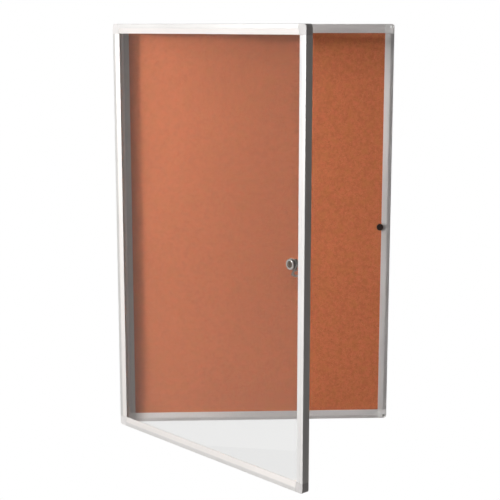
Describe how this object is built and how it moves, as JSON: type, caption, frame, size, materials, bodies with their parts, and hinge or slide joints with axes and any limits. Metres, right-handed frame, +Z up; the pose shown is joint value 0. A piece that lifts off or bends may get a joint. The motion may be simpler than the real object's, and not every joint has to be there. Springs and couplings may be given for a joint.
{
  "type": "lockable notice board",
  "caption": "Wall-hung lockable notice board: a shallow aluminium case holds a cork pin surface behind a side-hinged glazed door, and a cam lock hooks a keeper stud.",
  "frame": {"origin": "centre of the back sheet's rear face, on the wall plane", "axes": "+Z up along the height, +X to the right seen from the front, +Y into the wall"},
  "size_m": [0.6153, 0.4993, 0.9],
  "materials": {
    "case_aluminium": "satin anodised extrusion",
    "door_aluminium": "satin anodised extrusion",
    "corner_plastic": "moulded, silver grey, satin",
    "cork": "fine pressed cork granules, matt",
    "fibreboard": "soft wood-fibre board, matt",
    "galvanised_sheet": "galvanised, faint spangle",
    "screw_steel": "zinc plated",
    "hinge_aluminium": "satin anodised strip",
    "lock_chrome": "polished nickel-chrome plate",
    "keeper_black": "black satin",
    "gasket_rubber": "soft extruded channel",
    "washer_nylon": "moulded nylon",
    "clear_pane": "clear polished acrylic"
  },
  "bodies": {
    "case": {"case_rail_bottom": "case_aluminium", "case_rail_top": "case_aluminium", "case_stile_hinge": "case_aluminium", "case_stile_free": "case_aluminium", "case_corner_bottom_left": "corner_plastic", "case_corner_bottom_right": "corner_plastic", "case_corner_top_left": "corner_plastic", "case_corner_top_right": "corner_plastic", "cork_sheet": "cork", "backing_board": "fibreboard", "back_sheet": "galvanised_sheet", "back_screw_1": "screw_steel", "back_screw_2": "screw_steel", "back_screw_3": "screw_steel", "back_screw_4": "screw_steel", "back_screw_5": "screw_steel", "back_screw_6": "screw_steel", "back_screw_7": "screw_steel", "back_screw_8": "screw_steel", "back_screw_9": "screw_steel", "back_screw_10": "screw_steel", "keeper_stud": "keeper_black", "keeper_nut": "screw_steel", "hinge_fixed_leaf": "hinge_aluminium", "hinge_pin": "screw_steel", "case_hinge_screw_1": "screw_steel", "case_hinge_screw_2": "screw_steel", "case_hinge_screw_3": "screw_steel", "case_hinge_screw_4": "screw_steel", "case_hinge_screw_5": "screw_steel"},
    "door": {"door_rail_bottom": "door_aluminium", "door_rail_top": "door_aluminium", "door_stile_hinge": "door_aluminium", "door_stile_free": "door_aluminium", "door_corner_bottom_left": "corner_plastic", "door_corner_bottom_right": "corner_plastic", "door_corner_top_left": "corner_plastic", "door_corner_top_right": "corner_plastic", "pane": "clear_pane", "pane_gasket_bottom": "gasket_rubber", "pane_gasket_left": "gasket_rubber", "pane_gasket_right": "gasket_rubber", "pane_gasket_top": "gasket_rubber", "hinge_moving_leaf": "hinge_aluminium", "door_hinge_screw_1": "screw_steel", "door_hinge_screw_2": "screw_steel", "door_hinge_screw_3": "screw_steel", "door_hinge_screw_4": "screw_steel", "door_hinge_screw_5": "screw_steel", "lock_housing": "lock_chrome", "lock_washer": "washer_nylon", "lock_nut": "screw_steel"},
    "lock": {"lock_plug": "lock_chrome", "lock_cam": "screw_steel", "lock_cam_screw": "screw_steel"}
  },
  "joints": [
    {"name": "door_hinge", "type": "hinge", "parent": "case", "child": "door", "pos_m": [-0.303, -0.0192, 0], "axis": [0, 0, -1], "range_deg": [-51, 118]},
    {"name": "lock_turn", "type": "hinge", "parent": "door", "child": "lock", "pos_m": [0.03528, -0.46586, 0], "axis": [-0.7771, -0.6293, 0], "range_deg": [0, 90]}
  ]
}
